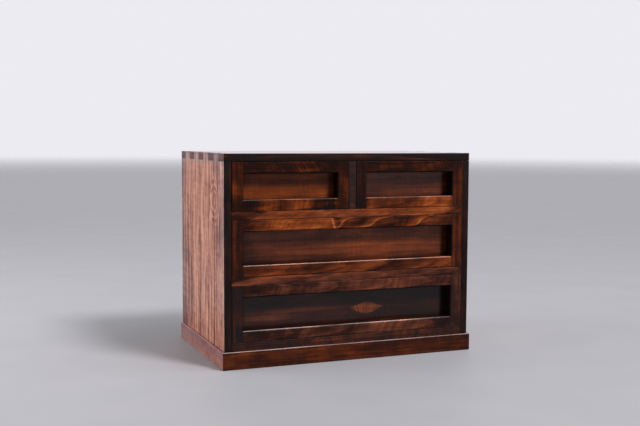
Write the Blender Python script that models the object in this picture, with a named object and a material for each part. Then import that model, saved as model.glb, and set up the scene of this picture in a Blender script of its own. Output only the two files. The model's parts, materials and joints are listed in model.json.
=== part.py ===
"""A low tansu chest of drawers in lacquered hardwood.

A finger-jointed carcass stands on a shallow plinth and holds two short drawers over two long ones.
Each drawer front is a deep frame of stiles and rails planted round a panel that lies well back, and
the drawer is pulled by a finger groove hidden under the frame's top rail.
Metres, +Z up, the front towards -Y, the origin on the floor below the middle of the chest.
"""

import math

import bmesh
import bpy
from mathutils import Vector

# Carcass
CARCASS_WIDTH = 0.700
CARCASS_DEPTH = 0.437
TOP_THICKNESS = 0.020
SIDE_THICKNESS = 0.020
BOTTOM_THICKNESS = 0.020
FINGER_COUNT = 9
TOP_ROW_HEIGHT = 0.127
MIDDLE_ROW_HEIGHT = 0.147
BOTTOM_ROW_HEIGHT = 0.147
RAIL_HEIGHT = 0.020
RAIL_DEPTH = 0.045
POST_WIDTH = 0.020
SHELF_THICKNESS = 0.009
SHELF_LAP = 0.010
SHELF_HOUSING = 0.006
BACK_THICKNESS = 0.008
BACK_LAP = 0.010
CARCASS_TENON_LENGTH = 0.008
CARCASS_TENON_SHOULDER = 0.005

# Plinth
PLINTH_HEIGHT = 0.046
PLINTH_THICKNESS = 0.022
PLINTH_SIDE_LEDGE = 0.0055
PLINTH_FRONT_LEDGE = 0.0065
BLOCK_LEG = 0.034
BLOCK_LIFT = 0.004

# Drawers
DRAWER_SIDE_GAP = 0.001
DRAWER_TOP_GAP = 0.0015
DRAWER_STOP_GAP = 0.0005
FRAME_WIDTH = 0.030
FRAME_DEPTH = 0.032
FRAME_CHAMFER = 0.003
FRAME_TENON_LENGTH = 0.012
FRAME_TENON_SHOULDER = 0.006
GRIP_HEIGHT = 0.012
GRIP_DEPTH = 0.016
GRIP_END_MARGIN = 0.014
PANEL_THICKNESS = 0.016
PANEL_LAP = 0.009
WALL_THICKNESS = 0.012
WALL_DROP = 0.004
WALL_TENON_LENGTH = 0.006
WALL_TENON_SHOULDER = 0.003
FLOOR_THICKNESS = 0.008

# Clearances: FIT lies between pieces that touch, OVERCUT is how far a cut runs past a face
FIT = 0.0003
OVERCUT = 0.002

# Planes that the pieces share
RIGHT = CARCASS_WIDTH / 2
LEFT = -RIGHT
BACK = (CARCASS_DEPTH + PLINTH_FRONT_LEDGE) / 2
FRONT = BACK - CARCASS_DEPTH
BAY_RIGHT = RIGHT - SIDE_THICKNESS
BAY_LEFT = -BAY_RIGHT
BAY_BACK = BACK - BACK_THICKNESS - FIT
CARCASS_FOOT = PLINTH_HEIGHT + FIT
BOTTOM_TOP = CARCASS_FOOT + BOTTOM_THICKNESS
LOWER_RAIL_FOOT = BOTTOM_TOP + BOTTOM_ROW_HEIGHT
LOWER_RAIL_TOP = LOWER_RAIL_FOOT + RAIL_HEIGHT
UPPER_RAIL_FOOT = LOWER_RAIL_TOP + MIDDLE_ROW_HEIGHT
UPPER_RAIL_TOP = UPPER_RAIL_FOOT + RAIL_HEIGHT
TOP_UNDERSIDE = UPPER_RAIL_TOP + TOP_ROW_HEIGHT
CHEST_TOP = TOP_UNDERSIDE + TOP_THICKNESS


def clear_scene():
    for leftover in list(bpy.data.objects):
        bpy.data.objects.remove(leftover, do_unlink=True)


def wood(name, colour, roughness):
    """A wood finish: a Principled BSDF of one colour, never metallic."""
    finish = bpy.data.materials.new(name)
    finish.use_nodes = True
    shader = finish.node_tree.nodes["Principled BSDF"]
    shader.inputs["Base Color"].default_value = (*colour, 1.0)
    shader.inputs["Roughness"].default_value = roughness
    shader.inputs["Metallic"].default_value = 0.0
    return finish


def place(name, shape, location, finish, parent):
    """Turns a bmesh into a named object at its location under its parent."""
    bmesh.ops.recalc_face_normals(shape, faces=shape.faces)
    mesh = bpy.data.meshes.new(name)
    shape.to_mesh(mesh)
    shape.free()
    piece = bpy.data.objects.new(name, mesh)
    piece.location = location
    piece.parent = parent
    if finish is not None:
        mesh.materials.append(finish)
    bpy.context.scene.collection.objects.link(piece)
    return piece


def box(name, low, high, finish=None, parent=None):
    """A squared board from its lowest to its highest corner."""
    low = Vector(low)
    high = Vector(high)
    shape = bmesh.new()
    bmesh.ops.create_cube(shape, size=1)
    bmesh.ops.scale(shape, vec=high - low, verts=shape.verts)
    return place(name, shape, (low + high) / 2, finish, parent)


def tenoned_box(name, low, high, axis, length, shoulder, finish, parent=None):
    """A squared board with a stub tenon drawn out of both its ends along an axis."""
    low = Vector(low)
    high = Vector(high)
    shape = bmesh.new()
    bmesh.ops.create_cube(shape, size=1)
    bmesh.ops.scale(shape, vec=high - low, verts=shape.verts)
    shape.normal_update()
    ends = [face for face in shape.faces if abs(face.normal[axis]) > 0.5]
    bmesh.ops.inset_individual(shape, faces=ends, thickness=shoulder, use_even_offset=True)
    for tip in bmesh.ops.extrude_discrete_faces(shape, faces=ends)["faces"]:
        bmesh.ops.translate(shape, vec=tip.normal * length, verts=tip.verts)
    return place(name, shape, (low + high) / 2, finish, parent)


def prism(name, outline, foot, top, finish):
    """An upright board whose plan is an outline of (x, y) points."""
    shape = bmesh.new()
    plan = shape.faces.new([shape.verts.new((x, y, foot)) for x, y in outline])
    grown = bmesh.ops.extrude_face_region(shape, geom=[plan])["geom"]
    lifted = [part for part in grown if isinstance(part, bmesh.types.BMVert)]
    bmesh.ops.translate(shape, vec=(0, 0, top - foot), verts=lifted)
    return place(name, shape, (0, 0, 0), finish, None)


def subtract(piece, cutter):
    cutter.hide_render = True
    cutter.display_type = "WIRE"
    cutting = piece.modifiers.new(cutter.name, "BOOLEAN")
    cutting.operation = "DIFFERENCE"
    cutting.solver = "EXACT"
    cutting.object = cutter


def cut(piece, low, high):
    """Takes a squared pocket out of a piece, in the frame of the piece's parent."""
    count = len(piece.modifiers) + 1
    subtract(piece, box(f"{piece.name}_cut_{count}", low, high, parent=piece.parent))


def mortise(piece, low, high, axis, end, length, shoulder):
    """Cuts the socket for the tenon on one end, -1 or 1, of a tenoned board."""
    pocket_low = [value + shoulder - FIT for value in low]
    pocket_high = [value - shoulder + FIT for value in high]
    face = high[axis] if end > 0 else low[axis]
    pocket_low[axis] = min(face - end * OVERCUT, face + end * (length + FIT))
    pocket_high[axis] = max(face - end * OVERCUT, face + end * (length + FIT))
    cut(piece, pocket_low, pocket_high)


clear_scene()
SIDE_FINISH = wood("side_lacquer", (0.135, 0.058, 0.044), 0.30)
CARCASS_FINISH = wood("carcass_lacquer", (0.020, 0.010, 0.009), 0.25)
RAIL_FINISH = wood("figured_rail_lacquer", (0.150, 0.042, 0.013), 0.25)
PLINTH_FINISH = wood("plinth_lacquer", (0.056, 0.017, 0.010), 0.35)
FRAME_FINISH = wood("frame_lacquer", (0.085, 0.024, 0.010), 0.25)
PANEL_FINISH = wood("panel_lacquer", (0.075, 0.024, 0.014), 0.18)
PAULOWNIA = wood("bare_paulownia", (0.470, 0.330, 0.200), 0.70)

# Sides and top: finger joints, the top board owning the first and the last finger of each corner
left_side = box("left_side", (LEFT, FRONT, CARCASS_FOOT), (BAY_LEFT, BACK, CHEST_TOP), SIDE_FINISH)
right_side = box("right_side", (BAY_RIGHT, FRONT, CARCASS_FOOT), (RIGHT, BACK, CHEST_TOP), SIDE_FINISH)
sides = ((left_side, -1), (right_side, 1))
top_board = box("top_board", (LEFT, FRONT, TOP_UNDERSIDE), (RIGHT, BACK, CHEST_TOP), CARCASS_FINISH)
FINGER_WIDTH = CARCASS_DEPTH / FINGER_COUNT
for side, hand in sides:
    outer = hand * (RIGHT + OVERCUT)
    for index in range(FINGER_COUNT):
        near = FRONT + index * FINGER_WIDTH - FIT / 2
        far = near + FINGER_WIDTH + FIT
        if index == 0:
            near -= OVERCUT
        if index == FINGER_COUNT - 1:
            far += OVERCUT
        top_owns_it = index % 2 == 0
        notched = side if top_owns_it else top_board
        inner = hand * (BAY_RIGHT - (OVERCUT if top_owns_it else FIT))
        floor = TOP_UNDERSIDE - (FIT if top_owns_it else OVERCUT)
        cut(
            notched,
            (min(inner, outer), near, floor),
            (max(inner, outer), far, CHEST_TOP + OVERCUT),
        )

# Bottom board and front rails: stub tenons let into the sides, hidden behind the front edge
bottom_low = (BAY_LEFT + FIT, FRONT, CARCASS_FOOT)
bottom_high = (BAY_RIGHT - FIT, BACK, BOTTOM_TOP)
rail_feet = {"lower": LOWER_RAIL_FOOT, "upper": UPPER_RAIL_FOOT}
tenoned_boards = {"bottom_board": (bottom_low, bottom_high, CARCASS_FINISH)}
for level, foot in rail_feet.items():
    rail_low = (BAY_LEFT + FIT, FRONT, foot)
    rail_high = (BAY_RIGHT - FIT, FRONT + RAIL_DEPTH, foot + RAIL_HEIGHT)
    tenoned_boards[f"{level}_front_rail"] = (rail_low, rail_high, RAIL_FINISH)
built = {}
for name, (low, high, finish) in tenoned_boards.items():
    built[name] = tenoned_box(name, low, high, 0, CARCASS_TENON_LENGTH, CARCASS_TENON_SHOULDER, finish)
    for side, hand in sides:
        mortise(side, low, high, 0, hand, CARCASS_TENON_LENGTH, CARCASS_TENON_SHOULDER)

# Shelves: thin boards that carry the drawers, lapped into the rails and housed in the sides
SHELF_FRONT = FRONT + RAIL_DEPTH - SHELF_LAP
SHELF_REACH = BAY_RIGHT + SHELF_HOUSING
for level, foot in rail_feet.items():
    shelf_top = foot + RAIL_HEIGHT
    shelf_foot = shelf_top - SHELF_THICKNESS
    box(
        f"{level}_shelf",
        (-SHELF_REACH + FIT, SHELF_FRONT + FIT, shelf_foot),
        (SHELF_REACH - FIT, BAY_BACK, shelf_top),
        PAULOWNIA,
    )
    cut(
        built[f"{level}_front_rail"],
        (-SHELF_REACH - CARCASS_TENON_LENGTH, SHELF_FRONT, shelf_foot - FIT),
        (SHELF_REACH + CARCASS_TENON_LENGTH, FRONT + RAIL_DEPTH + OVERCUT, shelf_top + OVERCUT),
    )
    for side, hand in sides:
        near, far = sorted((hand * (BAY_RIGHT - OVERCUT), hand * SHELF_REACH))
        cut(side, (near, SHELF_FRONT, shelf_foot - FIT), (far, BACK + OVERCUT, shelf_top + FIT))

# Post and partition between the two short drawers
post_low = (-POST_WIDTH / 2, FRONT, UPPER_RAIL_TOP + FIT)
post_high = (POST_WIDTH / 2, SHELF_FRONT, TOP_UNDERSIDE - FIT)
tenoned_box(
    "centre_post", post_low, post_high, 2, CARCASS_TENON_LENGTH, CARCASS_TENON_SHOULDER, CARCASS_FINISH
)
mortise(built["upper_front_rail"], post_low, post_high, 2, -1, CARCASS_TENON_LENGTH, CARCASS_TENON_SHOULDER)
mortise(top_board, post_low, post_high, 2, 1, CARCASS_TENON_LENGTH, CARCASS_TENON_SHOULDER)
box(
    "centre_partition",
    (-POST_WIDTH / 2, SHELF_FRONT + FIT, UPPER_RAIL_TOP + FIT),
    (POST_WIDTH / 2, BAY_BACK, TOP_UNDERSIDE - FIT),
    PAULOWNIA,
)

# Back: one level board behind each row, laid into rebates in the sides, with seams behind the shelves
BACK_REACH = BAY_RIGHT + BACK_LAP
for side, hand in sides:
    near, far = sorted((hand * (BAY_RIGHT - OVERCUT), hand * BACK_REACH))
    cut(side, (near, BAY_BACK, BOTTOM_TOP), (far, BACK + OVERCUT, TOP_UNDERSIDE))
LOWER_SEAM = LOWER_RAIL_TOP - SHELF_THICKNESS / 2
UPPER_SEAM = UPPER_RAIL_TOP - SHELF_THICKNESS / 2
for level, foot, top in (
    ("lower", BOTTOM_TOP, LOWER_SEAM),
    ("middle", LOWER_SEAM, UPPER_SEAM),
    ("upper", UPPER_SEAM, TOP_UNDERSIDE - FIT),
):
    box(
        f"{level}_back_board",
        (-BACK_REACH + FIT, BAY_BACK + FIT, foot + FIT),
        (BACK_REACH - FIT, BACK, top),
        PAULOWNIA,
    )

# Plinth: mitred in front, the back board tenoned between the sides, a block glued in each corner
PLINTH_RIGHT = RIGHT + PLINTH_SIDE_LEDGE
PLINTH_FRONT = FRONT - PLINTH_FRONT_LEDGE
PLINTH_INNER_RIGHT = PLINTH_RIGHT - PLINTH_THICKNESS
PLINTH_INNER_FRONT = PLINTH_FRONT + PLINTH_THICKNESS
PLINTH_INNER_BACK = BACK - PLINTH_THICKNESS
MITRE_GAP = FIT * math.sqrt(2)
prism(
    "plinth_front",
    (
        (-PLINTH_RIGHT, PLINTH_FRONT),
        (PLINTH_RIGHT, PLINTH_FRONT),
        (PLINTH_INNER_RIGHT, PLINTH_INNER_FRONT),
        (-PLINTH_INNER_RIGHT, PLINTH_INNER_FRONT),
    ),
    0,
    PLINTH_HEIGHT,
    PLINTH_FINISH,
)
plinth_back_low = (-PLINTH_INNER_RIGHT + FIT, PLINTH_INNER_BACK, 0)
plinth_back_high = (PLINTH_INNER_RIGHT - FIT, BACK, PLINTH_HEIGHT)
tenoned_box(
    "plinth_back",
    plinth_back_low,
    plinth_back_high,
    0,
    CARCASS_TENON_LENGTH,
    CARCASS_TENON_SHOULDER,
    PLINTH_FINISH,
)
for name, hand in (("left", -1), ("right", 1)):
    plinth_side = prism(
        f"plinth_{name}",
        (
            (hand * PLINTH_RIGHT, PLINTH_FRONT + MITRE_GAP),
            (hand * PLINTH_RIGHT, BACK),
            (hand * PLINTH_INNER_RIGHT, BACK),
            (hand * PLINTH_INNER_RIGHT, PLINTH_INNER_FRONT + MITRE_GAP),
        ),
        0,
        PLINTH_HEIGHT,
        PLINTH_FINISH,
    )
    mortise(
        plinth_side, plinth_back_low, plinth_back_high, 0, hand, CARCASS_TENON_LENGTH, CARCASS_TENON_SHOULDER
    )
    for end, corner_y, inward in (("front", PLINTH_INNER_FRONT, 1), ("back", PLINTH_INNER_BACK, -1)):
        block_x = hand * (PLINTH_INNER_RIGHT - FIT)
        block_y = corner_y + inward * FIT
        prism(
            f"plinth_block_{end}_{name}",
            (
                (block_x, block_y),
                (block_x - hand * BLOCK_LEG, block_y),
                (block_x, block_y + inward * BLOCK_LEG),
            ),
            BLOCK_LIFT,
            PLINTH_HEIGHT,
            PAULOWNIA,
        )


def chamfer_cutter(name, low, high, parent):
    """A pyramid stub through a frame's opening: it takes a mitred chamfer off the four inner arrises."""
    opening = Vector((high[0] - low[0], 0, high[2] - low[2]))
    spread = FRAME_CHAMFER + OVERCUT
    shape = bmesh.new()
    bmesh.ops.create_cube(shape, size=1)
    for corner in shape.verts:
        in_front = corner.co.y < 0
        margin = spread if in_front else -OVERCUT
        corner.co = Vector(
            (
                math.copysign(opening.x / 2 + margin, corner.co.x),
                -OVERCUT if in_front else FRAME_CHAMFER + OVERCUT,
                math.copysign(opening.z / 2 + margin, corner.co.z),
            )
        )
    centre = ((low[0] + high[0]) / 2, 0, (low[2] + high[2]) / 2)
    return place(name, shape, centre, None, parent)


def drawer_front(name, half, height, runner):
    """The deep frame and, behind it, the panel that is also the front wall of the box."""
    inner = half - FRAME_WIDTH
    stiles = {}
    for hand_name, hand in (("left", -1), ("right", 1)):
        near, far = sorted((hand * inner, hand * half))
        stiles[hand] = box(
            f"{name}_{hand_name}_stile", (near, 0, 0), (far, FRAME_DEPTH, height), FRAME_FINISH, runner
        )
    rails = {}
    for rail_name, foot in (("top", height - FRAME_WIDTH), ("bottom", 0)):
        low = (-inner + FIT, 0, foot)
        high = (inner - FIT, FRAME_DEPTH, foot + FRAME_WIDTH)
        rails[rail_name] = tenoned_box(
            f"{name}_{rail_name}_rail",
            low,
            high,
            0,
            FRAME_TENON_LENGTH,
            FRAME_TENON_SHOULDER,
            RAIL_FINISH,
            runner,
        )
        for hand, stile in stiles.items():
            mortise(stile, low, high, 0, hand, FRAME_TENON_LENGTH, FRAME_TENON_SHOULDER)
    chamfer = chamfer_cutter(
        f"{name}_chamfer", (-inner, 0, FRAME_WIDTH), (inner, 0, height - FRAME_WIDTH), runner
    )
    for member in (*stiles.values(), *rails.values()):
        subtract(member, chamfer)
    grip_half = inner - GRIP_END_MARGIN
    grip_foot = height - FRAME_WIDTH
    cut(
        rails["top"],
        (-grip_half, FRAME_DEPTH - GRIP_DEPTH, grip_foot - OVERCUT),
        (grip_half, FRAME_DEPTH + OVERCUT, grip_foot + GRIP_HEIGHT),
    )
    panel_front = FRAME_DEPTH + FIT
    panel_back = panel_front + PANEL_THICKNESS
    panel = box(
        f"{name}_panel", (-half, panel_front, 0), (half, panel_back, height), PANEL_FINISH, runner
    )
    lap_front = panel_back - PANEL_LAP
    lap_back = panel_back + OVERCUT
    for hand in (-1, 1):
        near, far = sorted((hand * (half - WALL_THICKNESS - FIT), hand * (half + OVERCUT)))
        cut(panel, (near, lap_front, -OVERCUT), (far, lap_back, height + OVERCUT))
    cut(
        panel,
        (-half - OVERCUT, lap_front, -OVERCUT),
        (half + OVERCUT, lap_back, FLOOR_THICKNESS + FIT),
    )
    return lap_front + FIT


def drawer_box(name, half, height, wall_front, runner):
    """The bare paulownia box: a floor, and on it two walls with a back housed between them."""
    length = BAY_BACK - DRAWER_STOP_GAP - FRONT
    wall_foot = FLOOR_THICKNESS + FIT
    wall_top = height - WALL_DROP
    box(f"{name}_floor", (-half, wall_front, 0), (half, length, FLOOR_THICKNESS), PAULOWNIA, runner)
    back_low = (-half + WALL_THICKNESS + FIT, length - WALL_THICKNESS, wall_foot)
    back_high = (half - WALL_THICKNESS - FIT, length, wall_top)
    tenoned_box(
        f"{name}_back", back_low, back_high, 0, WALL_TENON_LENGTH, WALL_TENON_SHOULDER, PAULOWNIA, runner
    )
    for hand_name, hand in (("left", -1), ("right", 1)):
        near, far = sorted((hand * (half - WALL_THICKNESS), hand * half))
        wall = box(
            f"{name}_{hand_name}_wall",
            (near, wall_front, wall_foot),
            (far, length, wall_top),
            PAULOWNIA,
            runner,
        )
        mortise(wall, back_low, back_high, 0, hand, WALL_TENON_LENGTH, WALL_TENON_SHOULDER)


def drawer(name, bay_left, bay_right, bay_foot, bay_top):
    """A drawer that fills its bay, on an empty at the foot of its front."""
    runner = bpy.data.objects.new(name, None)
    runner.location = ((bay_left + bay_right) / 2, FRONT, bay_foot + FIT)
    bpy.context.scene.collection.objects.link(runner)
    half = (bay_right - bay_left) / 2 - DRAWER_SIDE_GAP
    height = bay_top - bay_foot - FIT - DRAWER_TOP_GAP
    wall_front = drawer_front(name, half, height, runner)
    drawer_box(name, half, height, wall_front, runner)


drawer("upper_left_drawer", BAY_LEFT, -POST_WIDTH / 2, UPPER_RAIL_TOP, TOP_UNDERSIDE)
drawer("upper_right_drawer", POST_WIDTH / 2, BAY_RIGHT, UPPER_RAIL_TOP, TOP_UNDERSIDE)
drawer("middle_drawer", BAY_LEFT, BAY_RIGHT, LOWER_RAIL_TOP, UPPER_RAIL_FOOT)
drawer("lower_drawer", BAY_LEFT, BAY_RIGHT, BOTTOM_TOP, LOWER_RAIL_FOOT)
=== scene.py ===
"""Looks of the tansu chest: planed and lacquered boards, bare drawer boxes, pegs, studio and camera."""

import json
import math

import bmesh
import bpy
from mathutils import Matrix, Vector

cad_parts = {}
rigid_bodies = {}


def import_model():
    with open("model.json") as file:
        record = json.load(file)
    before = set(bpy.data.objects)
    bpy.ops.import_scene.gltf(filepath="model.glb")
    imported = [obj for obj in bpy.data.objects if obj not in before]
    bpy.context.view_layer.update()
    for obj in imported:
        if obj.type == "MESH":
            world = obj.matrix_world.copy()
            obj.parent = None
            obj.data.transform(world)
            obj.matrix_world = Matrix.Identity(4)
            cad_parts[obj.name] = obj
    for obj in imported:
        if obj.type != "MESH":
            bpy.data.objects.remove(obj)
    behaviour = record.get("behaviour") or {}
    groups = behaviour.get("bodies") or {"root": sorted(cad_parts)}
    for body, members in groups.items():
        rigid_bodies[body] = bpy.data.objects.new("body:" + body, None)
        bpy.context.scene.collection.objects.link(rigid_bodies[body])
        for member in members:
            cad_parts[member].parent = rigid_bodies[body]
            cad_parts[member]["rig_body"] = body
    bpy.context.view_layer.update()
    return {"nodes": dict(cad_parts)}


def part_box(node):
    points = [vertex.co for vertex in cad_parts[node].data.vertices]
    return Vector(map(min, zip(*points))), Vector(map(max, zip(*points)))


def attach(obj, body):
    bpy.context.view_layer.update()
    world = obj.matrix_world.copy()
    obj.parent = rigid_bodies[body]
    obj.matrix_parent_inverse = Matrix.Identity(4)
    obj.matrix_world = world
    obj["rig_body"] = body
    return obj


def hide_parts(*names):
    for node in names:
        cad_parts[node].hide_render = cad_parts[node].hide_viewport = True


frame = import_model()


# Side boards: two wide boards of red-brown lacquered wood, grain upright, their upper ends cut into fingers
# for the top board. The front edge is wiped nearly black, and the inner face is left bare behind the front.

X, Y, Z = 0, 1, 2
MM = 1000
WELD = 1e-5


class Shade:
    """A socket in a material's nodes. Arithmetic on it adds Math nodes, node() adds any other kind."""

    def __init__(self, tree, socket=None):
        self.tree = tree
        self.socket = socket

    def __getitem__(self, output):
        return Shade(self.tree, self.socket.node.outputs[output])

    def node(self, kind, settings=None, sockets=None, output=0):
        made = self.tree.nodes.new(kind)
        for key, value in (settings or {}).items():
            if key == "stops":
                stops = made.color_ramp.elements
                stops[0].position, stops[1].position = value[0][0], value[-1][0]
                stops[0].color, stops[1].color = (*value[0][1], 1), (*value[-1][1], 1)
                for position, colour in value[1:-1]:
                    stops.new(position).color = (*colour, 1)
            else:
                setattr(made, key, value)
        for key, value in (sockets or {}).items():
            if isinstance(value, Shade):
                self.tree.links.new(value.socket, made.inputs[key])
            else:
                made.inputs[key].default_value = value
        return Shade(self.tree, made.outputs[output] if made.outputs else None)

    def math(self, operation, *values):
        return self.node("ShaderNodeMath", {"operation": operation}, dict(enumerate(values)))

    def __add__(self, other):
        return self.math("ADD", self, other)

    def __sub__(self, other):
        return self.math("SUBTRACT", self, other)

    def __rsub__(self, other):
        return self.math("SUBTRACT", other, self)

    def __mul__(self, other):
        return self.math("MULTIPLY", self, other)

    def __truediv__(self, other):
        return self.math("DIVIDE", self, other)

    def __pow__(self, other):
        return self.math("POWER", self, other)

    def __abs__(self):
        return self.math("ABSOLUTE", self)

    __radd__ = __add__
    __rmul__ = __mul__

    def ease(self, low, high):
        """0 up to low and 1 from high, with a soft step between. It falls where low is above high."""
        settings = {"interpolation_type": "SMOOTHSTEP"}
        return self.node("ShaderNodeMapRange", settings, {"Value": self, "From Min": low, "From Max": high})

    def hump(self):
        """1 where this value is 0, falling away to nothing on both sides by about 2."""
        return self.math("EXPONENT", self * self * -1)

    def vector(self, x, y, z):
        return self.node("ShaderNodeCombineXYZ", None, {0: x, 1: y, 2: z})

    def noise(self, place, detail=2.0, rough=0.5):
        sockets = {"Vector": place, "Scale": 1, "Detail": detail, "Roughness": rough}
        return self.node("ShaderNodeTexNoise", None, sockets)

    def mix(self, first, second):
        """From the first colour to the second as this value goes from 0 to 1."""
        return self.node("ShaderNodeMix", {"data_type": "RGBA"}, {0: self, 6: first, 7: second}, 2)


def planed_board(node, arris, segments=3):
    """A copy of a CAD board with the arrises of its outline and chamfers eased, standing for that board."""
    board = bpy.data.objects.new("planed_" + node, frame["nodes"][node].data.copy())
    bpy.context.collection.objects.link(board)
    bpy.ops.object.select_all(action="DESELECT")
    bpy.context.view_layer.objects.active = board
    board.select_set(True)
    bpy.ops.mesh.customdata_custom_splitnormals_clear()
    bpy.ops.object.mode_set(mode="EDIT")
    bpy.ops.mesh.select_mode(type="EDGE")
    bpy.ops.mesh.select_all(action="SELECT")
    bpy.ops.mesh.remove_doubles(threshold=WELD)
    bpy.ops.mesh.dissolve_limited(angle_limit=math.radians(1))
    bpy.ops.mesh.select_all(action="DESELECT")
    shape = bmesh.from_edit_mesh(board.data)
    planes = [(axis, corner[axis]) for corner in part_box(node) for axis in (X, Y, Z)]
    for edge in shape.edges:
        ends = [vert.co for vert in edge.verts]
        outer_faces = sum(all(abs(end[axis] - at) < WELD for end in ends) for axis, at in planes)
        angle = math.degrees(edge.calc_face_angle(0))
        edge.select_set(abs(angle - 45) < 5 or outer_faces == 2 and abs(angle - 90) < 5)
    bmesh.update_edit_mesh(board.data)
    bpy.ops.mesh.bevel(offset=arris, segments=segments, affect="EDGES", clamp_overlap=True)
    bpy.ops.object.mode_set(mode="OBJECT")
    bpy.ops.object.shade_smooth_by_angle(angle=math.radians(40))
    board.modifiers.new("flat_faces", "WEIGHTED_NORMAL").keep_sharp = True
    bpy.ops.object.modifier_apply(modifier="flat_faces")
    board.data.materials.clear()
    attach(board, frame["nodes"][node]["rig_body"])
    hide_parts(node)
    return board


RED_LACQUER = [
    (0.00, (0.008, 0.0035, 0.003)),
    (0.25, (0.030, 0.0060, 0.0020)),
    (0.50, (0.095, 0.017, 0.0025)),
    (0.75, (0.225, 0.044, 0.006)),
    (1.00, (0.420, 0.115, 0.028)),
]
SIDE_LACQUER = [
    (0.00, (0.085, 0.014, 0.008)),
    (0.30, (0.190, 0.038, 0.017)),
    (0.60, (0.345, 0.115, 0.068)),
    (1.00, (0.570, 0.232, 0.134)),
    (1.50, (0.690, 0.345, 0.242)),
]
BARE_HARDWOOD = [(0.0, (0.16, 0.085, 0.045)), (0.5, (0.33, 0.20, 0.11)), (1.0, (0.45, 0.30, 0.18))]
END_GRAIN = [(0.0, (0.030, 0.010, 0.006)), (0.5, (0.060, 0.020, 0.011)), (1.0, (0.105, 0.040, 0.022))]
# End grain of the fingers: dark wood, its mauve cast a painted sheen.
FINGER_ENDS_AND_SHEEN = [(0.0, (0.036, 0.012, 0.015)), (0.5, (0.068, 0.023, 0.029)), (1.0, (0.112, 0.045, 0.050))]
ARRIS_GLOSS = 0.42
# How much lighter up-facing arrises are painted: partly worn wood, partly a painted highlight.
ARRIS_WEAR_AND_HIGHLIGHT = 0.1
CREST_BAND = (-0.0022, -0.0012)
BARE_BEHIND = (0.020, 0.026)
WIPED_BLACK = [
    (0.0, (0.004, 0.0018, 0.0016)),
    (0.5, (0.009, 0.0035, 0.0030)),
    (1.0, (0.026, 0.0080, 0.0055)),
]


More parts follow.
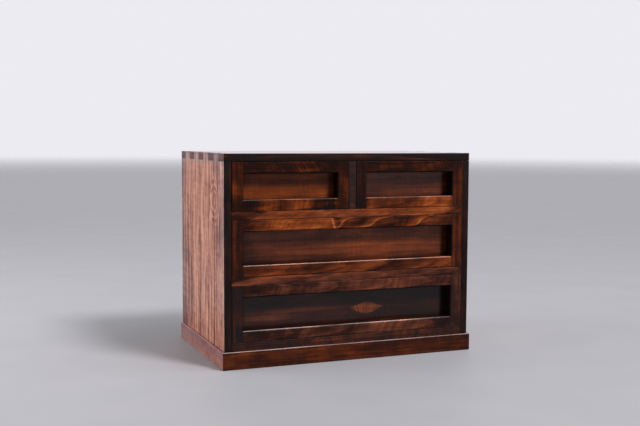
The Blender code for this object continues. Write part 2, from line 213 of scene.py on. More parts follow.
class Wood:
    """The figure of one board: rings round a pith that lies along the grain, with streaks, pores and knots.

    pith is its distance across and behind the middle of the face, slope how far it dips along the grain.
    ring is the width of a ring, drift how far the grain wavers and wave how often in a metre. A knot is
    (place along the grain, place across, half length, half width, lift of the rings), in millimetres.
    """

    def __init__(
        self, node, grain, face, seed, pith=(0.004, 0.09), slope=0.0,
        ring=0.0035, drift=0.004, wave=9, knots=(),
    ):
        self.material = bpy.data.materials.new(node + "_wood")
        self.material.use_nodes = True
        self.material.node_tree.nodes.clear()
        self.shade = shade = Shade(self.material.node_tree)
        low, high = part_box(node)
        self.middle = (low + high) / 2
        self.grain, self.cross = grain, X + Y + Z - grain - face
        place = shade.node("ShaderNodeTexCoord")["Object"]
        centred = shade.node("ShaderNodeMapping", None, {"Vector": place, "Location": -self.middle})
        axes = shade.node("ShaderNodeSeparateXYZ", None, {"Vector": centred})
        self.axes = axes
        self.along, self.deep, self.across = axes[grain], axes[face], axes[self.cross]
        self.behind_front = axes[Y] + (self.middle.y - low.y)
        self.seed = seed

        self.wander = self.streaks(wave, 28, detail=3) - 0.5
        aside = self.across - pith[0] + self.wander * drift
        back = self.deep + pith[1] + self.along * slope + self.wander * drift
        for at, level, long, wide, lift in knots:
            aside = aside + self.spot(at, level, long, wide).hump() * (lift / MM)
        radius = (aside * aside + back * back) ** 0.5
        phase = shade.math("FRACT", radius / ring)
        self.ring = phase * phase * phase.ease(1.0, 0.9)
        self.streak = self.streaks(6, 95, detail=5, rough=0.66).ease(0.25, 0.75)
        self.fibre = self.streaks(30, 900, detail=2)
        self.pores = self.streaks(110, 1500, detail=1).ease(0.60, 0.70)
        self.cloud = self.streaks(7, 16, detail=2).ease(0.25, 0.75)
        self.mottle = self.streaks(26, 48, detail=4).ease(0.25, 0.75)

        normal = shade.node("ShaderNodeNewGeometry")["True Normal"]
        self.normal = shade.node("ShaderNodeSeparateXYZ", None, {"Vector": normal})
        steepest = shade.math("MAXIMUM", abs(self.normal[0]), abs(self.normal[1]))
        steepest = shade.math("MAXIMUM", steepest, abs(self.normal[2]))
        self.arris = steepest.ease(0.985, 0.86)
        # Arrises that look up near the board's top: glossier, and painted lighter as worn wood and as a
        # painted highlight.
        crest = (axes[Z] + (self.middle.z - high.z)).ease(*CREST_BAND)
        self.worn_and_highlit_crest = self.arris * self.normal[2].ease(0.2, 0.5) * crest
        self.end = abs(self.normal[grain]).ease(0.75, 0.9)

    def streaks(self, along, across, detail, rough=0.5):
        """Noise drawn out along the grain: so many features a metre along it, and so many across it."""
        place = self.shade.vector(self.along * along + self.seed, self.across * across, self.deep * across)
        return self.shade.noise(place, detail, rough)

    def lengthwise(self, at):
        """Distance along the grain from a place in millimetres along the chest, in millimetres."""
        return (self.along - (at / MM - self.middle[self.grain])) * MM

    def crosswise(self, at):
        """Distance across the grain from a place in millimetres across the chest, in millimetres."""
        return (self.across - (at / MM - self.middle[self.cross])) * MM

    def spot(self, at, level, long, wide):
        """Distance from a place on the face, 1 on an oval of that half length and half width round it."""
        u, v = self.lengthwise(at) / long, self.crosswise(level) / wide
        return (u * u + v * v) ** 0.5

    def painted_gap_shade(self, corner):
        """1 along the left and lower edges of a drawer front: painted shade of the gap round the front."""
        x, z = self.axes[X] + (self.middle.x - corner.x), self.axes[Z] + (self.middle.z - corner.z)
        return self.shade.math("MINIMUM", x, z).ease(0.003, 0.001)

    def flecks(self, marks, slant):
        """Light and dark places, each (millimetres along the chest, half width in millimetres, strength)."""
        shift = self.across * (slant * MM) + self.wander * 14 + (self.streak - 0.5) * 9
        total = 0.0
        for at, half, strength in marks:
            reach = (self.lengthwise(at) + shift) / half
            total = total + (reach * reach).hump() * strength
        return total

    def stripes(self, marks):
        """Light and dark stripes along the grain, each (millimetres across, half width, strength)."""
        shift = self.wander * 45
        total = 0.0
        for at, half, strength in marks:
            reach = (self.crosswise(at) + shift) / half
            total = total + (reach * reach).hump() * strength
        return total

    def curls(self, slant, count):
        """Uneven bands across the grain, so many a metre, where the fibres wave to and from the face."""
        along = (self.along + self.across * slant + self.wander * 0.03) * count
        place = self.shade.vector(along + self.seed, self.across * 9, self.deep * 9)
        return self.shade.noise(place, 2.0).ease(0.3, 0.7) - 0.5

    def facing(self, side):
        """1 on faces that look along (axis, sign)."""
        return (self.normal[side[0]] * side[1]).ease(0.5, 0.7)

    def lacquer(
        self, tone, figure=0.0, slant=0.0, rings=0.2, streaks=0.30, curl=0.15, curls=90, mottle=0.20,
        gloss=0.08, dull=0.35, crest=ARRIS_GLOSS, wear_and_highlight=ARRIS_WEAR_AND_HIGHLIGHT, smear=0.0, polish=0.2,
        bare=(), black=None, ramp=RED_LACQUER, ends=END_GRAIN,
    ):
        """Wiped lacquer over the figure, with the end grain's stain smeared over some of it.

        bare lists and black gives the (axis, sign) of faces left so. dull is the share of the gloss that
        dark places lack, polish the roughness of the lacquer itself. crest is the gloss on worn arrises that
        look up, and the next argument how much lighter they are: worn wood and a painted highlight.
        """
        shade = self.shade
        level = tone + figure + (self.ring - 0.3) * rings + (self.streak - 0.5) * streaks
        level = level + (self.cloud - 0.5) * 0.2 + (self.mottle - 0.5) * mottle
        level = level + self.curls(slant, curls) * curl
        level = level + (self.fibre - 0.5) * 0.14 - self.pores * 0.05
        # Up-facing crests are painted lighter: partly worn wood, partly a painted highlight.
        level = level + self.worn_and_highlit_crest * (self.mottle * 0.8 + 0.6) * wear_and_highlight
        top = ramp[-1][0]
        stops = [(at / top, colour) for at, colour in ramp]
        colour = shade.node("ShaderNodeValToRGB", {"stops": stops}, {0: level * (1 / top)})
        stain = shade.node("ShaderNodeValToRGB", {"stops": ends}, {0: self.streak * 0.6 + self.fibre * 0.4})
        colour = shade.math("MAXIMUM", self.end * 0.8, smear).mix(colour, stain)
        shine = gloss * (1 - self.end * 0.75) * (1 - level.ease(0.6, 0.1) * dull)
        if black:
            wiped = self.facing(black)
            wipe = self.streak * 0.6 + self.mottle * 0.4
            soot = shade.node("ShaderNodeValToRGB", {"stops": WIPED_BLACK}, {0: wipe})
            colour = wiped.mix(colour, soot)
            shine = shine * (1 - wiped * 0.92)
        shine = shine + self.worn_and_highlit_crest * (crest * (self.cloud + 0.5) - gloss)
        rough = 0.38 + (self.fibre - 0.5) * 0.2 + self.end * 0.2
        for side in bare:
            bare_face = self.facing(side)
            if side[0] != Y:
                bare_face = bare_face * (self.behind_front + self.wander * 0.02).ease(*BARE_BEHIND)
            raw = self.ring * 0.3 + 0.35 + (self.streak - 0.5) * 0.4
            raw_colour = shade.node("ShaderNodeValToRGB", {"stops": BARE_HARDWOOD}, {0: raw})
            colour = bare_face.mix(colour, raw_colour)
            shine = shine * (1 - bare_face)
            rough = rough + bare_face * 0.3
        height = self.fibre * 0.3 + self.streak * 0.4 - self.pores * 0.4 - self.ring * 0.4
        bump = shade.node("ShaderNodeBump", None, {"Strength": 0.3, "Distance": 0.0008, "Height": height})
        self.surface(colour, rough, shine, bump, 0.05, polish)
        return self.material

    def surface(self, colour, rough, shine, bump, lustre, polish=0.2):
        sockets = {"Base Color": colour, "Roughness": rough, "Coat Weight": shine, "Normal": bump}
        sockets |= {"Specular IOR Level": lustre, "Coat Roughness": polish, "Coat IOR": 2.0}
        coat = self.shade.node("ShaderNodeBsdfPrincipled", None, sockets)
        self.shade.node("ShaderNodeOutputMaterial", None, {"Surface": coat})


SIDE_TOP = 547
SIDE_STRIPES = [
    (205, 36, -0.24), (150, 5, -0.25), (105, 6, -0.32), (63, 34, 0.12), (20, 7, -0.45),
    (-25, 34, 0.10), (-72, 5, -0.28), (-96, 12, 0.12), (-121, 8, -0.42), (-165, 32, -0.02),
    (-157, 4, -0.18), (-205, 12, -0.05),
]
for side, inward, knot in (("left_side", 1, (423, -123)), ("right_side", -1, (236, 88))):
    board = planed_board(side, arris=0.0012)
    knots = [(*knot, 42, 36, 70)]
    wood = Wood(side, Z, X, 3.1 + inward, pith=(0.34, 0.10), ring=0.026, drift=0.09, wave=4, knots=knots)
    from_top = wood.lengthwise(SIDE_TOP)
    figure = wood.stripes(SIDE_STRIPES) - from_top.ease(-24, -14) * 0.12
    figure = figure - from_top.ease(-9, -3) * 0.25
    figure = figure - wood.stripes([(-190, 45, 0.35)]) * (wood.lengthwise(345) / 80).hump()
    figure = figure - wood.stripes([(165, 60, 0.28)]) * wood.lengthwise(300).ease(120, -100)
    figure = figure - wood.stripes([(200, 48, 0.12)]) * wood.lengthwise(380).ease(-60, 60)
    edges = abs(wood.crosswise(0)).ease(110, 205)
    front_sheen = wood.crosswise(-150).ease(0, -60) * wood.lengthwise(300).ease(-60, 60)
    stained = (from_top + wood.wander * 16).ease(-36, -15)
    figure = figure - from_top.ease(-95, -30) * 0.08
    figure = figure + (wood.streaks(15, 66, detail=5, rough=0.65).ease(0.3, 0.7) - 0.5) * 0.5
    figure = figure + (wood.streaks(7, 240, detail=4, rough=0.6).ease(0.3, 0.7) - 0.5) * 0.3
    figure = figure + (wood.streaks(60, 210, detail=4, rough=0.65).ease(0.3, 0.7) - 0.5) * 0.35
    swirl = wood.spot(*knot, 52, 44) + wood.wander * 0.9
    loops = (wood.shade.math("FRACT", swirl * 3) - 0.5) / 0.2
    figure = figure + (loops.hump() - 0.35) * swirl.ease(1.4, 0.9) * 0.45
    finish = wood.lacquer(
        0.74, figure, rings=0.60, streaks=0.40, curl=0.16,
        gloss=0.36 + edges * 0.3 + stained * 0.35 + front_sheen * 0.3,
        smear=stained * 0.36, bare=[(X, inward)], black=(Y, -1), ramp=SIDE_LACQUER, ends=FINGER_ENDS_AND_SHEEN,
    )
    board.data.materials.append(finish)


# Top board: one wide board, grain from end to end, its ends cut into the fingers that show as dark end
# grain on the sides. The front edge is wiped dark, the underside left bare.

board = planed_board("top_board", arris=0.0012)
wood = Wood("top_board", X, Z, seed=8.4, pith=(0.05, 0.10), slope=0.05, ring=0.009, drift=0.05, wave=3)
front_edge = wood.facing((Y, -1))
finish = wood.lacquer(
    0.62, front_edge * -0.58, rings=0.4, streaks=0.4, curl=0.04, mottle=0.08,
    gloss=1 - front_edge * 0.89, polish=0.1, bare=[(Z, -1)], ends=FINGER_ENDS_AND_SHEEN,
)
board.data.materials.append(finish)


# Bottom board: a board stub-tenoned between the sides, lacquered only along its front edge, which shows as
# a dark band over the plinth. The lowest drawer runs on its bare upper face.

BOTTOM_MARKS = [(-198, 45, -0.13), (-68, 42, 0.20), (20, 45, 0.12), (118, 30, 0.09), (225, 95, 0.18)]
board = planed_board("bottom_board", arris=0.0006)
wood = Wood("bottom_board", X, Z, seed=5.2)
figure = wood.flecks(BOTTOM_MARKS, slant=0.0)
board.data.materials.append(wood.lacquer(0.12, figure, gloss=0.19, bare=[(Z, 1), (Z, -1), (Y, 1)]))


# Front rails: two lacquered rails of the brightest figured wood, tenoned into the sides between the rows
# of drawers, with a short dark post tenoned between the upper one and the top board.

FRONT_RAILS = {
    "upper_front_rail": (
        0.65, -2.5, 0.14,
        [
            (-318, 64, -0.48), (-276, 24, -0.14), (-105, 26, -0.14), (-45, 20, -0.06), (230, 35, 0.08),
            (322, 45, -0.30),
        ],
    ),
    "lower_front_rail": (
        0.40, -5.0, 0.26,
        [
            (-350, 32, -0.22), (-255, 60, 0.22), (-118, 30, -0.14), (-66, 30, 0.07), (50, 60, -0.05),
            (160, 40, -0.09), (290, 50, -0.17),
        ],
    ),
}
for number, (rail, (tone, slant, gloss, marks)) in enumerate(FRONT_RAILS.items()):
    board = planed_board(rail, arris=0.0006)
    wood = Wood(rail, X, Y, seed=1.7 + 4.6 * number, slope=0.02)
    finish = wood.lacquer(tone, wood.flecks(marks, slant), slant, gloss=gloss, dull=0.8, bare=[(Y, 1)])
    board.data.materials.append(finish)
board = planed_board("centre_post", arris=0.0006)
wood = Wood("centre_post", Z, Y, seed=2.2)
board.data.materials.append(wood.lacquer(0.13, gloss=0.26, bare=[(Y, 1)]))


# Shelves and partition: thin bare paulownia boards housed in the sides behind the rails, on which the
# drawers run, and an upright one between the two short drawers.

PAULOWNIA = [(0.0, (0.26, 0.155, 0.082)), (0.5, (0.49, 0.340, 0.205)), (1.0, (0.63, 0.475, 0.315))]


def paulownia(node, grain, face, seed):
    """Planed paulownia, pale and dull, with brown rings that arch along the board, and no finish."""
    pith = (0.05 * math.sin(seed * 2.4), 0.09)
    slope = 0.06 * math.cos(seed)
    wood = Wood(node, grain, face, seed * 9.7, pith, slope, ring=0.0065, drift=0.011, wave=5)
    tone = 0.62 + 0.06 * math.sin(seed * 5) - wood.ring * 0.38
    tone = tone + (wood.streak - 0.5) * 0.3 + (wood.cloud - 0.5) * 0.2
    tone = tone - wood.end * 0.3 - wood.pores * 0.10
    colour = wood.shade.node("ShaderNodeValToRGB", {"stops": PAULOWNIA}, {0: tone})
    height = wood.fibre * 0.5 - wood.pores * 0.5
    bump = wood.shade.node("ShaderNodeBump", None, {"Strength": 0.4, "Distance": 0.0004, "Height": height})
    rough = 0.72 + (wood.fibre - 0.5) * 0.2
    wood.surface(colour, rough, wood.arris * 0.03, bump, 0.3)
    return wood.material


for number, shelf in enumerate(("lower_shelf", "upper_shelf")):
    frame["nodes"][shelf].material_slots[0].material = paulownia(shelf, X, Z, 11.0 + number)
frame["nodes"]["centre_partition"].material_slots[0].material = paulownia("centre_partition", Y, X, 13.0)


# Back: three bare paulownia boards lying edge to edge in rebates of the sides, their seams behind the
# shelves, each held by three wooden pegs at either end.

PEG_RADIUS = 0.0018
PEG_LENGTH = 0.007
PEG_PROUD = 0.00015
PEG_EDGE = 0.0005
BACK_PEG_INSET = 0.005
BACK_PEG_SHARES = (0.15, 0.5, 0.85)
PEG_WOOD = [(0.0, (0.13, 0.070, 0.032)), (0.6, (0.27, 0.165, 0.085)), (1.0, (0.36, 0.235, 0.13))]

bpy.ops.object.select_all(action="DESELECT")
bpy.ops.mesh.primitive_cylinder_add(vertices=12, radius=PEG_RADIUS, depth=PEG_LENGTH)
peg = bpy.context.object
bpy.ops.object.mode_set(mode="EDIT")
bpy.ops.mesh.select_mode(type="EDGE")
bpy.ops.mesh.select_all(action="DESELECT")
shape = bmesh.from_edit_mesh(peg.data)
for edge in shape.edges:
    edge.select_set(all(vert.co.z > 0 for vert in edge.verts))
bmesh.update_edit_mesh(peg.data)
bpy.ops.mesh.bevel(offset=PEG_EDGE, segments=2, affect="EDGES")
bpy.ops.object.mode_set(mode="OBJECT")
bpy.ops.object.shade_smooth_by_angle(angle=math.radians(50))
peg.data.transform(Matrix.Translation((0, 0, PEG_PROUD - PEG_LENGTH / 2)))


def pegs(name, body, heads):
    """Pegs driven in so that each head, given as (place, outward direction), stands a hair proud."""
    bpy.ops.object.select_all(action="DESELECT")
    for number, (place, outward) in enumerate(heads):
        copy = bpy.data.objects.new(name, peg.data.copy())
        turn = Vector(outward).to_track_quat("Z", "Y").to_matrix().to_4x4()
        copy.data.transform(Matrix.Translation(place) @ turn)
        bpy.context.collection.objects.link(copy)
        copy.select_set(True)
        if number == 0:
            bpy.context.view_layer.objects.active = copy
    bpy.ops.object.join()
    driven = bpy.context.object
    material = bpy.data.materials.new(name + "_wood")
    material.use_nodes = True
    material.node_tree.nodes.clear()
    shade = Shade(material.node_tree)
    place = shade.node("ShaderNodeTexCoord")["Object"]
    fine = shade.node("ShaderNodeMapping", None, {"Vector": place, "Scale": (900, 900, 900)})
    coarse = shade.node("ShaderNodeMapping", None, {"Vector": place, "Scale": (40, 40, 40)})
    grain, tone = shade.noise(fine, 3.0), shade.noise(coarse, 1.0)
    colour = shade.node("ShaderNodeValToRGB", {"stops": PEG_WOOD}, {0: grain * 0.7 + tone * 0.6 - 0.1})
    bump = shade.node("ShaderNodeBump", None, {"Strength": 0.4, "Distance": 0.0003, "Height": grain})
    sockets = {"Base Color": colour, "Roughness": 0.55 + grain * 0.2, "Normal": bump}
    coat = shade.node("ShaderNodeBsdfPrincipled", None, sockets)
    shade.node("ShaderNodeOutputMaterial", None, {"Surface": coat})
    driven.data.materials.append(material)
    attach(driven, body)


back_heads = []
for number, back in enumerate(("lower_back_board", "middle_back_board", "upper_back_board")):
    board = planed_board(back, arris=0.0015)
    board.data.materials.append(paulownia(back, X, Y, 15.0 + number))
    low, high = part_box(back)
    for x in (low.x + BACK_PEG_INSET, high.x - BACK_PEG_INSET):
        for share in BACK_PEG_SHARES:
            back_heads.append((Vector((x, high.y, low.z + (high.z - low.z) * share)), (0, 1, 0)))
pegs("back_pegs", "carcass", back_heads)


# Plinth: four lacquered boards under the carcass, a little proud of it at the front and sides, mitred at the
# front corners. The back one is tenoned between the side ones, and a bare glue block fills each corner.

# Lacquer for the plinth's left board: red-brown, its two lower mauve stops a painted cool sheen.
PLINTH_SIDE_LACQUER_AND_SHEEN = [
    (0.00, (0.130, 0.044, 0.046)),
    (0.35, (0.252, 0.083, 0.084)),
    (0.65, (0.308, 0.078, 0.043)),
    (1.00, (0.450, 0.150, 0.080)),
]
PLINTH_MARKS = [(-315, 40, 0.15), (-98, 32, 0.22), (-15, 40, 0.09), (215, 45, 0.05)]
for number, (name, grain, face) in enumerate(
    (("plinth_front", X, Y), ("plinth_left", Y, X), ("plinth_right", Y, X), ("plinth_back", X, Y))
):
    board = planed_board(name, arris=0.0018, segments=1)
    wood = Wood(name, grain, face, seed=20.0 + number)
    if name == "plinth_front":
        figure = wood.flecks(PLINTH_MARKS, slant=-0.5)
        finish = wood.lacquer(0.25, figure, streaks=0.25, curl=0.05, mottle=0.14, crest=0.51, wear_and_highlight=0.22)
    elif name == "plinth_left":
        # Painted sheen: the upper part of the board is lowered into the ramp's mauve stops.
        painted_sheen_band = (wood.crosswise(22) + wood.wander * 20).ease(-9, 11)
        worn_gloss = 0.88 + (wood.streak - 0.5) * 0.6 + (wood.mottle - 0.5) * 0.6
        finish = wood.lacquer(
            0.67, painted_sheen_band * -0.28, streaks=0.5, curl=0.12, mottle=0.36, gloss=worn_gloss,
            ramp=PLINTH_SIDE_LACQUER_AND_SHEEN,
        )
    else:
        finish = wood.lacquer(0.42, curl=0.05, gloss=0.5, ramp=SIDE_LACQUER)
    board.data.materials.append(finish)
for number, block in enumerate(n for n in frame["nodes"] if n.startswith("plinth_block")):
    frame["nodes"][block].material_slots[0].material = paulownia(block, Z, X, 25.0 + number)


# Drawer fronts: on each drawer two stiles and two rails tenoned together round a panel set far back, the
# inner front arris chamfered and mitred. Each is of figured wood with its own light and dark places.

# Per drawer: gloss, crest gloss, and how much lighter the bottom rails' crests are painted, as worn wood and
# painted highlight.
FRONT_FINISH = {
    "upper_left_drawer": (0.05, 0.17, 0.51),
    "upper_right_drawer": (0.08, 0.23, 0.47),
    "middle_drawer": (0.09, 0.40, 0.74),
    "lower_drawer": (0.27, 0.53, 0.49),
}
STILES = {
    "upper_left_drawer_left_stile": (0.25, 0.0, [(455, 15, 0.15), (415, 12, -0.15)]),
    "upper_left_drawer_right_stile": (0.235, 0.11, [(460, 30, 0.12), (515, 15, -0.12)]),
    "upper_right_drawer_left_stile": (0.08, 0.0, []),
    "upper_right_drawer_right_stile": (0.27, 0.08, [(520, 12, -0.10)]),
    "middle_drawer_left_stile": (0.26, -0.06, [(245, 12, -0.08)]),
    "middle_drawer_right_stile": (0.33, 0.03, []),
    "lower_drawer_left_stile": (0.16, -0.02, [(88, 24, -0.14)]),
    "lower_drawer_right_stile": (0.36, 0.0, [(85, 15, -0.15)]),
}
STILE_HALF = 0.015


def front_corner(node):
    """Lower left corner of the front of the drawer that a node belongs to."""
    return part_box(frame["nodes"][node]["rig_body"] + "_left_stile")[0]


for number, (stile, (tone, lean, marks)) in enumerate(STILES.items()):
    board = planed_board(stile, arris=0.0005)
    wood = Wood(stile, Z, Y, seed=30.0 + number)
    gloss, crest, _ = FRONT_FINISH[frame["nodes"][stile]["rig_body"]]
    # Painted shade: the drawer front's left and lower edges are darkened to stand for the gap round it.
    figure = wood.flecks(marks, 0.3) - wood.painted_gap_shade(front_corner(stile)) * 0.3 + wood.across / STILE_HALF * lean
    recess_side_in_shade = (X, 1 if "left_stile" in stile else -1)
    # Painted shade: the stile's face toward the recess is darkened.
    figure = figure - wood.facing(recess_side_in_shade) * 0.13
    # Painted shade: a right stile is darkened along its inner edge beside the recess.
    if "right_stile" in stile:
        figure = figure - wood.crosswise(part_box(stile)[0].x * MM).ease(8, 3) * 0.11
    finish = wood.lacquer(tone, figure, 0.3, curl=0.08, gloss=gloss, dull=0.6, crest=crest, bare=[(Y, 1)])
    board.data.materials.append(finish)

RAILS = {
    "upper_left_drawer_top_rail": (
        0.15, 0.7, 0.34, 190, [(-240, 40, -0.06), (-128, 34, 0.14), (-55, 25, 0.02)],
    ),
    "upper_left_drawer_bottom_rail": (
        0.27, 0.0, 0.22, 150,
        [
            (-283, 24, -0.17), (-232, 28, 0.27), (-188, 13, 0.20), (-145, 35, 0.27), (-80, 30, -0.26),
            (-42, 7, 0.1),
        ],
    ),
    "upper_right_drawer_top_rail": (0.15, 0.4, 0.15, 90, [(60, 28, -0.13), (180, 60, 0.06)]),
    "upper_right_drawer_bottom_rail": (
        0.32, -0.3, 0.15, 90, [(60, 13, 0.19), (138, 35, 0.10), (255, 52, 0.36)],
    ),
    "middle_drawer_top_rail": (
        0.29, -0.5, 0.12, 90,
        [
            (-312, 36, -0.16), (-288, 18, 0.10), (-165, 92, 0.36), (-76, 20, 0.20), (26, 15, -0.09),
            (150, 35, 0.07), (252, 36, 0.19),
        ],
    ),
    "middle_drawer_bottom_rail": (
        0.38, -2.6, 0.10, 90,
        [(-190, 30, 0.06), (-112, 35, -0.09), (22, 55, 0.27), (100, 28, -0.12), (245, 56, 0.30)],
    ),
    "lower_drawer_top_rail": (
        0.27, -0.3, 0.15, 90,
        [
            (-270, 50, -0.2), (-190, 12, 0.11), (-138, 28, 0.12), (-93, 20, 0.13), (75, 92, 0.28),
            (290, 22, 0.10),
        ],
    ),
    "lower_drawer_bottom_rail": (
        0.29, -0.6, 0.15, 90, [(-228, 65, -0.13), (-98, 55, 0.11), (148, 85, 0.23), (295, 35, -0.14)],
    ),
}
FLAMES = ((-28, 20), (62, 38), (201, 28))
FLAME_HALF = 0.013
FORK = -52
for number, (rail, (tone, slant, curl, curls, marks)) in enumerate(RAILS.items()):
    arris = 0.0009 if "top_rail" in rail else 0.0005
    board = planed_board(rail, arris)
    wood = Wood(rail, X, Y, seed=40.0 + number, pith=(0.005, 0.09), slope=0.026)
    # Painted shade: the rail's face toward the recess, the sill on a bottom rail, is darkened.
    recess_side_in_shade = (Z, 1 if "bottom_rail" in rail else -1)
    # Painted shade: the drawer front's left and lower edges are darkened to stand for the gap round it.
    figure = wood.flecks(marks, slant) - wood.painted_gap_shade(front_corner(rail)) * 0.3 - wood.facing(recess_side_in_shade) * 0.3
    if rail == "middle_drawer_top_rail":
        rise = wood.across / FLAME_HALF
        sweep = rise * 0.3 + rise * rise * rise * 0.7
        for at, run in FLAMES:
            past = wood.lengthwise(at) - sweep * run + wood.wander * 12
            figure = figure + (past / 4).hump() * 0.42 + ((past + 14) / 15).hump() * 0.32
        arm = wood.lengthwise(FORK) + rise * 4 + wood.wander * 12
        figure = figure + (arm / 3).hump() * 0.40 - ((arm - 15) / 9).hump() * 0.15
    gloss, crest, wear_and_highlight = FRONT_FINISH[frame["nodes"][rail]["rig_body"]]
    finish = wood.lacquer(
        tone, figure, slant, curl=curl, curls=curls, gloss=gloss, dull=0.8, crest=crest,
        wear_and_highlight=wear_and_highlight if "bottom_rail" in rail else ARRIS_WEAR_AND_HIGHLIGHT, bare=[(Y, 1)],
    )
    board.data.materials.append(finish)

PANELS = {
    "upper_left_drawer_panel": (0.68, 0.09, [(482, 20, -0.18)], []),
    "upper_right_drawer_panel": (0.45, 0.22, [], []),
    "middle_drawer_panel": (
        # the first spot, dark at the panel's left end, is painted shade beside the left stile
        0.50, 0.19, [(264, 16, -0.12)], [(-300, 300, 45, 60, -0.25), (60, 292, 160, 18, 0.06)],
    ),
    "lower_drawer_panel": (0.10, 0.28, [], [(-215, 118, 75, 24, 0.26), (-120, 135, 90, 14, 0.10)]),
}
EYE = (58, 131)
for number, (panel, (tone, gloss, stripes, spots)) in enumerate(PANELS.items()):
    wood = Wood(panel, X, Y, seed=50.0 + number, pith=(0.03, 0.2))
    figure = wood.stripes(stripes)
    for at, level, long, wide, strength in spots:
        figure = figure + wood.spot(at, level, long, wide).hump() * strength
    if panel == "lower_drawer_panel":
        u, v = wood.lengthwise(EYE[0]) / 51, wood.crosswise(EYE[1]) / 19
        lens = 1 - abs(u) ** 1.4 - abs(v) + (wood.streak - 0.5) * (abs(u) * 0.3 + 0.2)
        rays = wood.curls(abs(u) * 0.3, 160) * 0.22
        figure = figure + lens.ease(-0.02, 0.26) * (rays + 0.34 + v.hump() * 0.1) - lens.hump() * 0.06
    drawer = frame["nodes"][panel]["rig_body"]
    left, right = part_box(drawer + "_left_stile")[1].x * MM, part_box(drawer + "_right_stile")[0].x * MM
    # Painted shade: the panel is darkened, and its gloss cut, where the right stile's shadow falls, and
    # darkened at its left end beside the left stile.
    painted_shadow_end = wood.lengthwise(right).ease(-23, -9)
    figure = figure - painted_shadow_end * 0.14 - wood.lengthwise(left).ease(16, 2) * 0.2
    gloss = gloss * (1 - painted_shadow_end * 0.4)
    finish = wood.lacquer(
        tone, figure, rings=0.1, streaks=0.2, curl=0.06, curls=150, mottle=0.08, gloss=gloss, bare=[(Y, 1)],
    )
    frame["nodes"][panel].material_slots[0].material = finish


# Drawer boxes: bare paulownia walls and back, housed in each other and in the panel, with a floor pegged
# to them from below. Pegs also hold the walls to the panel and to the back.

WALL_LAP = 0.0045
WALL_PEG_SHARES = (0.14, 0.5, 0.86)
FLOOR_PEG_INSET = 0.006
FLOOR_SIDE_SHARES = (0.12, 0.37, 0.62, 0.87)
FLOOR_BACK_SHARES = (0.25, 0.5, 0.75)
for number, drawer in enumerate(FRONT_FINISH):
    for part, grain, face in (("left_wall", Y, X), ("right_wall", Y, X), ("back", X, Y), ("floor", X, Z)):
        node = f"{drawer}_{part}"
        board = planed_board(node, arris=0.0008)
        board.data.materials.append(paulownia(node, grain, face, 60.0 + 5 * number + len(part)))
    floor_low, floor_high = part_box(drawer + "_floor")
    heads = []
    for wall, outward in (("left_wall", -1), ("right_wall", 1)):
        low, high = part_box(f"{drawer}_{wall}")
        outer, middle = (low.x if outward < 0 else high.x), (low.x + high.x) / 2
        for y in (low.y + WALL_LAP, high.y - WALL_LAP):
            for share in WALL_PEG_SHARES:
                heads.append((Vector((outer, y, low.z + (high.z - low.z) * share)), (outward, 0, 0)))
        for share in FLOOR_SIDE_SHARES:
            y = low.y + (high.y - low.y) * share
            heads.append((Vector((middle, y, floor_low.z)), (0, 0, -1)))
    for share in FLOOR_BACK_SHARES:
        x = floor_low.x + (floor_high.x - floor_low.x) * share
        heads.append((Vector((x, floor_high.y - FLOOR_PEG_INSET, floor_low.z)), (0, 0, -1)))
    pegs(drawer + "_pegs", drawer, heads)
bpy.data.objects.remove(peg)


# Studio: a pale floor that fades into an even pale background, a high soft light in front that throws the
# top rails' shadows on the panels, a strip overhead that lights the chamfers, and a soft light on the left.

FLOOR_RADIUS = 30.0
FLOOR_FADE = (12.0, 29.0)
FLOOR_PAINT = ((0.325, 0.325, 0.35, 1), (0.345, 0.34, 0.365, 1))
WINDOW_DIRECTION = (-0.371, 0.572, -0.731)
AMBIENT = 0.28
BACKDROP = (0.84, 0.83, 0.88, 1)
bpy.ops.object.select_all(action="DESELECT")
bpy.ops.mesh.primitive_circle_add(vertices=128, radius=FLOOR_RADIUS, fill_type="NGON")
floor = bpy.context.object
floor.name = "floor"
floor_finish = bpy.data.materials.new("floor_paint")
floor_finish.use_nodes = True
floor_finish.node_tree.nodes.clear()
shade = Shade(floor_finish.node_tree)
place = shade.node("ShaderNodeTexCoord")["Object"]
distance = shade.node("ShaderNodeVectorMath", {"operation": "LENGTH"}, {0: place}, 1)
mottle = shade.noise(shade.node("ShaderNodeMapping", None, {"Vector": place, "Scale": (5, 5, 5)}), 5.0)
paint = mottle.ease(0.3, 0.7).mix(*FLOOR_PAINT)
painted = shade.node("ShaderNodeBsdfPrincipled", None, {"Base Color": paint, "Roughness": 0.6})
clear = shade.node("ShaderNodeBsdfTransparent")
painted_sheen_band = shade.node("ShaderNodeMixShader", None, {0: distance.ease(*FLOOR_FADE), 1: painted, 2: clear})
shade.node("ShaderNodeOutputMaterial", None, {"Surface": painted_sheen_band})
floor.data.materials.append(floor_finish)


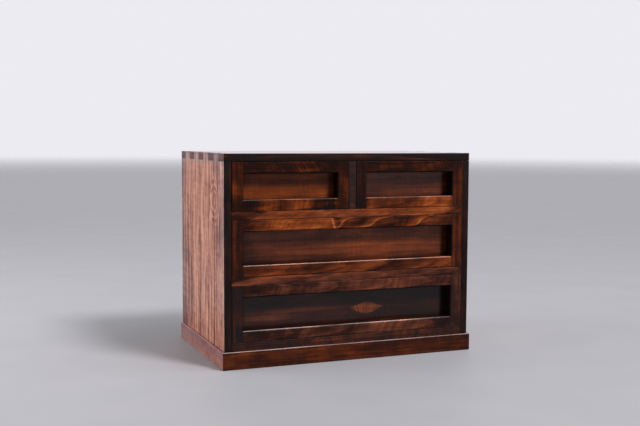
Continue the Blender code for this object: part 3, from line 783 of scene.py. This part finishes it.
def softbox(name, location, target, size, radiance):
    """A rectangular light of that radiance, facing target. The camera doesn't see the lamp itself."""
    bpy.ops.object.light_add(type="AREA", location=location)
    lamp = bpy.context.object
    lamp.name = name
    lamp.rotation_euler = (Vector(target) - Vector(location)).to_track_quat("-Z", "Y").to_euler()
    lamp.data.shape = "RECTANGLE"
    lamp.data.size, lamp.data.size_y = size
    lamp.data.energy = radiance * math.pi * size[0] * size[1]
    lamp.visible_camera = False
    return lamp


softbox("overhead_strip", location=(1.0, -0.62, 2.6), target=(1.0, -0.62, 0), size=(1.9, 0.80), radiance=5.0)
left_softbox = softbox(
    "left_softbox", location=(-3.0, 0.8, 1.4), target=(-0.35, 0.0, 0.3), size=(2.2, 2.2), radiance=4.3,
)
left_softbox.visible_glossy = False
bpy.ops.object.light_add(type="SUN")
high_window = bpy.context.object
high_window.name = "high_window"
high_window.rotation_euler = Vector(WINDOW_DIRECTION).to_track_quat("-Z", "Y").to_euler()
high_window.data.energy = 3.0
high_window.data.angle = math.radians(16)
high_window.visible_glossy = False

world = bpy.data.worlds.new("studio")
bpy.context.scene.world = world
world.use_nodes = True
world.node_tree.nodes.clear()
shade = Shade(world.node_tree)
ray = shade.node("ShaderNodeLightPath")
seen = shade.math("MAXIMUM", ray["Is Camera Ray"], ray["Is Glossy Ray"])
seen = shade.math("MAXIMUM", seen, ray["Is Transmission Ray"])
ambient = shade.node("ShaderNodeBackground", None, {"Color": (1, 1, 1, 1), "Strength": AMBIENT})
backdrop = shade.node("ShaderNodeBackground", None, {"Color": BACKDROP, "Strength": 1.0})
lit = shade.node("ShaderNodeMixShader", None, {0: seen, 1: ambient, 2: backdrop})
shade.node("ShaderNodeOutputWorld", None, {"Surface": lit})


# Camera: where the photograph was taken from, low in front and to the left of the chest. Place, aim and lens
# were fitted to the chest's own edges, so that it stands in the picture as it does in the photograph.

CAMERA_PLACE = (-1.0157, -2.5199, 0.5879)
LENS = 54.03
TURN, TILT, ROLL = math.radians(-21.848), math.radians(90 - 4.495), math.radians(0.2638)
aim = Matrix.Rotation(TURN, 3, "Z") @ Matrix.Rotation(TILT, 3, "X") @ Matrix.Rotation(ROLL, 3, "Z")
bpy.ops.object.camera_add(location=CAMERA_PLACE, rotation=aim.to_euler())
camera = bpy.context.object
camera.data.lens = LENS
bpy.context.scene.camera = camera
bpy.context.scene.view_settings.view_transform = "Standard"
